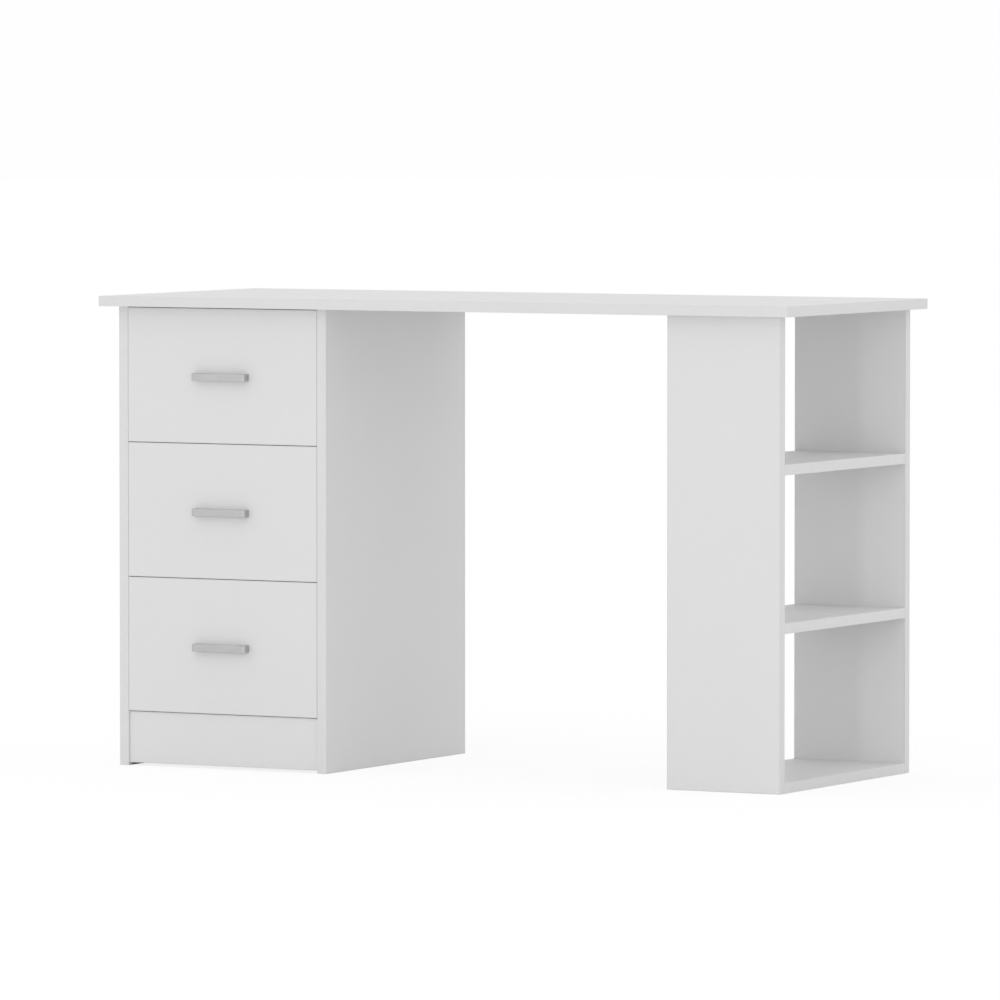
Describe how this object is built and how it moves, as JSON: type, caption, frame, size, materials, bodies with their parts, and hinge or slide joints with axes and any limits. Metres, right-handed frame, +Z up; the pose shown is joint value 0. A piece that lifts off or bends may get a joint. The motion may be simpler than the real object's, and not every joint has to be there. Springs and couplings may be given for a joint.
{
  "type": "pedestal desk",
  "caption": "Straight white flat-pack desk: thin worktop on a drawer pedestal at one end and a narrow open bookcase tower at the other, with a clear kneehole.",
  "frame": {"origin": "on the floor, under the centre of the worktop", "axes": "+X along the worktop, from the drawers towards the bookcase; +Y from the front to the back; +Z up. The drawers open towards -Y"},
  "size_m": [1.2, 0.488, 0.735],
  "materials": {
    "white_board": "satin",
    "drawer_foil": "satin",
    "white_hardboard": "satin",
    "brown_hardboard": "matte",
    "runner_steel": "satin",
    "roller_nylon": "satin",
    "handle_silver": "satin",
    "zinc_fittings": "satin",
    "white_caps": "satin"
  },
  "bodies": {
    "desk_case": {"desk_top": "white_board", "pedestal_left_side": "white_board", "pedestal_right_side": "white_board", "plinth_front": "white_board", "plinth_rear": "white_board", "pedestal_bottom_panel": "white_board", "pedestal_rear_top_rail": "white_board", "pedestal_back_panel": "brown_hardboard", "bookcase_front_panel": "white_board", "bookcase_rear_panel": "white_board", "bookcase_bottom_shelf": "white_board", "bookcase_lower_shelf": "white_board", "bookcase_upper_shelf": "white_board", "top_case_left_runner": "runner_steel", "top_case_right_runner": "runner_steel", "middle_case_left_runner": "runner_steel", "middle_case_right_runner": "runner_steel", "bottom_case_left_runner": "runner_steel", "bottom_case_right_runner": "runner_steel"},
    "top_drawer": {"top_drawer_front": "white_board", "top_drawer_left_side": "drawer_foil", "top_drawer_right_side": "drawer_foil", "top_drawer_back": "drawer_foil", "top_drawer_bottom": "white_hardboard", "top_drawer_handle": "handle_silver", "top_drawer_left_runner": "runner_steel", "top_drawer_right_runner": "runner_steel"},
    "top_case_left_front_roller": {"top_case_left_front_roller": "roller_nylon"},
    "top_drawer_left_rear_roller": {"top_drawer_left_rear_roller": "roller_nylon"},
    "top_case_right_front_roller": {"top_case_right_front_roller": "roller_nylon"},
    "top_drawer_right_rear_roller": {"top_drawer_right_rear_roller": "roller_nylon"},
    "middle_drawer": {"middle_drawer_front": "white_board", "middle_drawer_left_side": "drawer_foil", "middle_drawer_right_side": "drawer_foil", "middle_drawer_back": "drawer_foil", "middle_drawer_bottom": "white_hardboard", "middle_drawer_handle": "handle_silver", "middle_drawer_left_runner": "runner_steel", "middle_drawer_right_runner": "runner_steel"},
    "middle_case_left_front_roller": {"middle_case_left_front_roller": "roller_nylon"},
    "middle_drawer_left_rear_roller": {"middle_drawer_left_rear_roller": "roller_nylon"},
    "middle_case_right_front_roller": {"middle_case_right_front_roller": "roller_nylon"},
    "middle_drawer_right_rear_roller": {"middle_drawer_right_rear_roller": "roller_nylon"},
    "bottom_drawer": {"bottom_drawer_front": "white_board", "bottom_drawer_left_side": "drawer_foil", "bottom_drawer_right_side": "drawer_foil", "bottom_drawer_back": "drawer_foil", "bottom_drawer_bottom": "white_hardboard", "bottom_drawer_handle": "handle_silver", "bottom_drawer_left_runner": "runner_steel", "bottom_drawer_right_runner": "runner_steel"},
    "bottom_case_left_front_roller": {"bottom_case_left_front_roller": "roller_nylon"},
    "bottom_drawer_left_rear_roller": {"bottom_drawer_left_rear_roller": "roller_nylon"},
    "bottom_case_right_front_roller": {"bottom_case_right_front_roller": "roller_nylon"},
    "bottom_drawer_right_rear_roller": {"bottom_drawer_right_rear_roller": "roller_nylon"}
  },
  "joints": [
    {"name": "top_drawer_slide", "type": "slide", "parent": "desk_case", "child": "top_drawer", "axis": [0, -1, 0], "range_m": [0, 0.3]},
    {"name": "top_case_left_front_roller_spin", "type": "hinge", "parent": "desk_case", "child": "top_case_left_front_roller", "pos_m": [-0.55625, -0.19, 0.53925], "axis": [1, 0, 0], "range_deg": [0, 1910]},
    {"name": "top_drawer_left_rear_roller_spin", "type": "hinge", "parent": "top_drawer", "child": "top_drawer_left_rear_roller", "pos_m": [-0.55563, 0.182, 0.5345], "axis": [1, 0, 0], "range_deg": [0, 2149]},
    {"name": "top_case_right_front_roller_spin", "type": "hinge", "parent": "desk_case", "child": "top_case_right_front_roller", "pos_m": [-0.22675, -0.19, 0.53925], "axis": [1, 0, 0], "range_deg": [0, 1910]},
    {"name": "top_drawer_right_rear_roller_spin", "type": "hinge", "parent": "top_drawer", "child": "top_drawer_right_rear_roller", "pos_m": [-0.22737, 0.182, 0.5345], "axis": [1, 0, 0], "range_deg": [0, 2149]},
    {"name": "middle_drawer_slide", "type": "slide", "parent": "desk_case", "child": "middle_drawer", "axis": [0, -1, 0], "range_m": [0, 0.3]},
    {"name": "middle_case_left_front_roller_spin", "type": "hinge", "parent": "desk_case", "child": "middle_case_left_front_roller", "pos_m": [-0.55625, -0.19, 0.3285], "axis": [1, 0, 0], "range_deg": [0, 1910]},
    {"name": "middle_drawer_left_rear_roller_spin", "type": "hinge", "parent": "middle_drawer", "child": "middle_drawer_left_rear_roller", "pos_m": [-0.55563, 0.182, 0.32375], "axis": [1, 0, 0], "range_deg": [0, 2149]},
    {"name": "middle_case_right_front_roller_spin", "type": "hinge", "parent": "desk_case", "child": "middle_case_right_front_roller", "pos_m": [-0.22675, -0.19, 0.3285], "axis": [1, 0, 0], "range_deg": [0, 1910]},
    {"name": "middle_drawer_right_rear_roller_spin", "type": "hinge", "parent": "middle_drawer", "child": "middle_drawer_right_rear_roller", "pos_m": [-0.22737, 0.182, 0.32375], "axis": [1, 0, 0], "range_deg": [0, 2149]},
    {"name": "bottom_drawer_slide", "type": "slide", "parent": "desk_case", "child": "bottom_drawer", "axis": [0, -1, 0], "range_m": [0, 0.3]},
    {"name": "bottom_case_left_front_roller_spin", "type": "hinge", "parent": "desk_case", "child": "bottom_case_left_front_roller", "pos_m": [-0.55625, -0.19, 0.11775], "axis": [1, 0, 0], "range_deg": [0, 1910]},
    {"name": "bottom_drawer_left_rear_roller_spin", "type": "hinge", "parent": "bottom_drawer", "child": "bottom_drawer_left_rear_roller", "pos_m": [-0.55563, 0.182, 0.113], "axis": [1, 0, 0], "range_deg": [0, 2149]},
    {"name": "bottom_case_right_front_roller_spin", "type": "hinge", "parent": "desk_case", "child": "bottom_case_right_front_roller", "pos_m": [-0.22675, -0.19, 0.11775], "axis": [1, 0, 0], "range_deg": [0, 1910]},
    {"name": "bottom_drawer_right_rear_roller_spin", "type": "hinge", "parent": "bottom_drawer", "child": "bottom_drawer_right_rear_roller", "pos_m": [-0.22737, 0.182, 0.113], "axis": [1, 0, 0], "range_deg": [0, 2149]}
  ],
  "couplings": [
    {"joint": "top_case_left_front_roller_spin", "follows": "top_drawer_slide", "rad_per_m": 111.11},
    {"joint": "top_drawer_left_rear_roller_spin", "follows": "top_drawer_slide", "rad_per_m": 125},
    {"joint": "top_case_right_front_roller_spin", "follows": "top_drawer_slide", "rad_per_m": 111.11},
    {"joint": "top_drawer_right_rear_roller_spin", "follows": "top_drawer_slide", "rad_per_m": 125},
    {"joint": "middle_case_left_front_roller_spin", "follows": "middle_drawer_slide", "rad_per_m": 111.11},
    {"joint": "middle_drawer_left_rear_roller_spin", "follows": "middle_drawer_slide", "rad_per_m": 125},
    {"joint": "middle_case_right_front_roller_spin", "follows": "middle_drawer_slide", "rad_per_m": 111.11},
    {"joint": "middle_drawer_right_rear_roller_spin", "follows": "middle_drawer_slide", "rad_per_m": 125},
    {"joint": "bottom_case_left_front_roller_spin", "follows": "bottom_drawer_slide", "rad_per_m": 111.11},
    {"joint": "bottom_drawer_left_rear_roller_spin", "follows": "bottom_drawer_slide", "rad_per_m": 125},
    {"joint": "bottom_case_right_front_roller_spin", "follows": "bottom_drawer_slide", "rad_per_m": 111.11},
    {"joint": "bottom_drawer_right_rear_roller_spin", "follows": "bottom_drawer_slide", "rad_per_m": 125}
  ]
}
